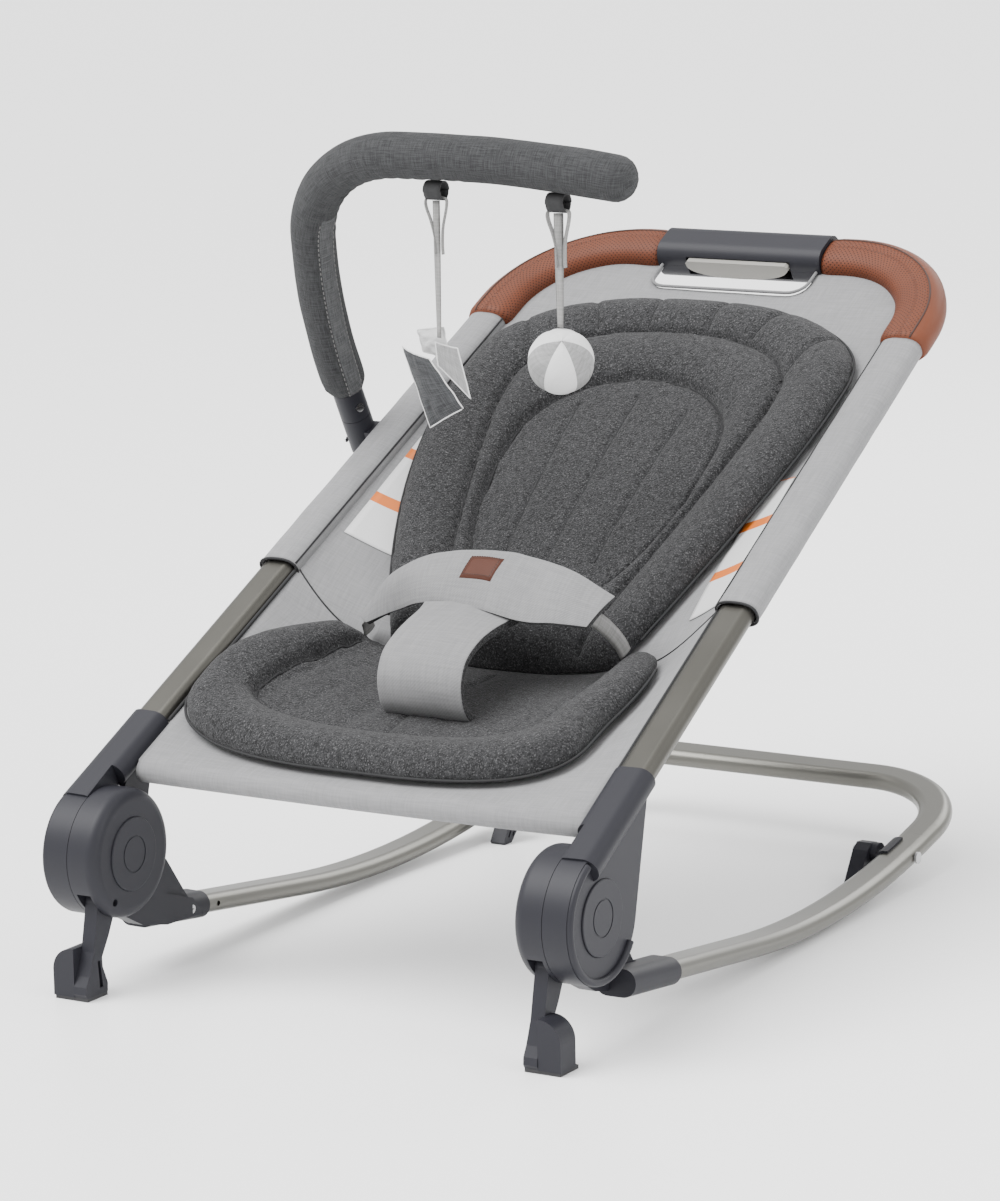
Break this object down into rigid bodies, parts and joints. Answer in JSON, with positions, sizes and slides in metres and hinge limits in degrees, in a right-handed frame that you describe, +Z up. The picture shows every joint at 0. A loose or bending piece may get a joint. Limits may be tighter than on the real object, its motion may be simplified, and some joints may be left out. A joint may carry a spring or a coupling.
{
  "type": "baby bouncer seat",
  "caption": "Folding rocker-base baby seat: oval-tube seat frame on a curved tube base, hung fabric sling, padded insert with waist harness, squeeze-lever recline and swivelling toy bar.",
  "frame": {"origin": "middle of the overall footprint, on the floor", "axes": "+Z up, +Y towards the head end, +X to the right of someone facing the seat"},
  "size_m": [0.5051, 0.768, 0.6566],
  "materials": {
    "tube_metal": "satin champagne-grey nickel paint, smooth",
    "slate_plastic": "moulded dark slate plastic, fine spark texture",
    "steel": "plain zinc-plated steel",
    "sole_rubber": "matt dark rubber",
    "sling_fabric": "light grey fine plain weave, slightly mottled",
    "insert_fabric": "dark heather grey, speckled soft knit",
    "belt_fabric": "pale grey fine twill",
    "linen_fabric": "dark grey linen melange",
    "grip_leather": "tan perforated leatherette with a stitched seam",
    "patch_leather": "brown leather with a stitched border",
    "lever_plastic": "warm pale grey plastic",
    "tag_fabric": "white satin tape",
    "ribbon": "pale woven ribbon",
    "loop_elastic": "black elastic",
    "toy_dark": "dark grey soft jersey",
    "toy_light": "white and light grey ribbed plush",
    "button_chrome": "polished snap button"
  },
  "bodies": {
    "base": {"base_tube": "tube_metal", "hinge_base_left": "slate_plastic", "hinge_base_right": "slate_plastic", "base_cap_left": "slate_plastic", "base_cap_right": "slate_plastic", "index_plate_left": "steel", "index_plate_right": "steel", "rear_bracket_left": "slate_plastic", "rear_bracket_right": "slate_plastic", "hinge_bolts": "steel", "base_screws": "steel", "front_foot_pins": "steel", "rear_foot_pins": "steel"},
    "front_foot_left": {"front_foot_left": "slate_plastic", "front_sole_left": "sole_rubber"},
    "front_foot_right": {"front_foot_right": "slate_plastic", "front_sole_right": "sole_rubber"},
    "rear_foot_left": {"rear_foot_left": "slate_plastic"},
    "rear_foot_right": {"rear_foot_right": "slate_plastic"},
    "seat": {"hinge_seat_left": "slate_plastic", "hinge_seat_right": "slate_plastic", "seat_cap_left": "slate_plastic", "seat_cap_right": "slate_plastic", "pawl_spring_left": "steel", "pawl_spring_right": "steel", "seat_tube": "tube_metal", "socket_rivets": "steel", "hem_rod": "tube_metal", "handle_front": "slate_plastic", "handle_rear": "slate_plastic", "handle_screws": "steel", "lever_springs": "steel", "release_cables": "sole_rubber", "grip_left": "grip_leather", "grip_right": "grip_leather", "sling": "sling_fabric", "sleeve_left": "sling_fabric", "sleeve_right": "sling_fabric", "insert_seat": "insert_fabric", "insert_back": "insert_fabric", "crotch_strap": "belt_fabric", "waist_belt": "belt_fabric", "belt_straps": "ribbon", "belt_patch": "patch_leather", "side_tags": "tag_fabric", "toy_post": "slate_plastic", "post_screws": "steel"},
    "release_lever": {"release_lever": "lever_plastic"},
    "lock_pawl_left": {"lock_pawl_left": "steel"},
    "lock_pawl_right": {"lock_pawl_right": "steel"},
    "toy_collar": {"toy_collar": "slate_plastic"},
    "toy_button": {"toy_button": "button_chrome"},
    "toy_arm": {"toy_arm_tube": "tube_metal", "toy_arm_pad": "linen_fabric", "toy_loops": "loop_elastic"},
    "toy_left": {"toy_ribbon_left": "ribbon", "toy_left": "toy_dark"},
    "toy_right": {"toy_ribbon_right": "ribbon", "toy_right": "toy_light"}
  },
  "joints": [
    {"name": "seat_recline", "type": "hinge", "parent": "base", "child": "seat", "pos_m": [0.00745, -0.329, 0.11], "axis": [1, 0, 0], "range_deg": [-31, 9]},
    {"name": "front_foot_left_fold", "type": "hinge", "parent": "base", "child": "front_foot_left", "pos_m": [-0.19855, -0.355, 0.076], "axis": [-1, 0, 0], "range_deg": [0, 60]},
    {"name": "front_foot_right_fold", "type": "hinge", "parent": "base", "child": "front_foot_right", "pos_m": [0.21345, -0.355, 0.076], "axis": [-1, 0, 0], "range_deg": [0, 60]},
    {"name": "rear_foot_left_fold", "type": "hinge", "parent": "base", "child": "rear_foot_left", "pos_m": [-0.16255, 0.227, 0.02723], "axis": [-1, 0, 0], "range_deg": [0, 75]},
    {"name": "rear_foot_right_fold", "type": "hinge", "parent": "base", "child": "rear_foot_right", "pos_m": [0.17745, 0.227, 0.02723], "axis": [-1, 0, 0], "range_deg": [0, 75]},
    {"name": "handle_lever", "type": "slide", "parent": "seat", "child": "release_lever", "axis": [0, 0.8854, 0.4648], "range_m": [0, 0.004], "stiffness_N_per_m": 2500, "springref_m": -0.002, "deforming": ["lever_springs"]},
    {"name": "pawl_release_left", "type": "slide", "parent": "seat", "child": "lock_pawl_left", "axis": [0, 0.4586, 0.8886], "range_m": [0, 0.004], "deforming": ["pawl_spring_left"]},
    {"name": "pawl_release_right", "type": "slide", "parent": "seat", "child": "lock_pawl_right", "axis": [0, 0.4586, 0.8886], "range_m": [0, 0.004], "deforming": ["pawl_spring_right"]},
    {"name": "toy_bar_lift", "type": "slide", "parent": "seat", "child": "toy_collar", "axis": [0, -0.4648, 0.8854], "range_m": [0, 0.045]},
    {"name": "toy_bar_swivel", "type": "hinge", "parent": "toy_collar", "child": "toy_arm", "pos_m": [-0.23355, 0.09473, 0.38069], "axis": [0, -0.4648, 0.8854], "range_deg": [-90, 90]},
    {"name": "toy_bar_button", "type": "slide", "parent": "toy_collar", "child": "toy_button", "axis": [-0.9063, 0.3742, 0.1965], "range_m": [0, 0.0015], "stiffness_N_per_m": 1500, "springref_m": -0.001},
    {"name": "toy_left_swing", "type": "hinge", "parent": "toy_arm", "child": "toy_left", "pos_m": [-0.06755, -0.04015, 0.6104], "axis": [1, 0, 0], "range_deg": [-30, 30]},
    {"name": "toy_right_swing", "type": "hinge", "parent": "toy_arm", "child": "toy_right", "pos_m": [0.04545, -0.03711, 0.60462], "axis": [1, 0, 0], "range_deg": [-30, 30]}
  ],
  "couplings": [
    {"joint": "pawl_release_left", "follows": "handle_lever", "ratio": 1},
    {"joint": "pawl_release_right", "follows": "handle_lever", "ratio": 1}
  ]
}
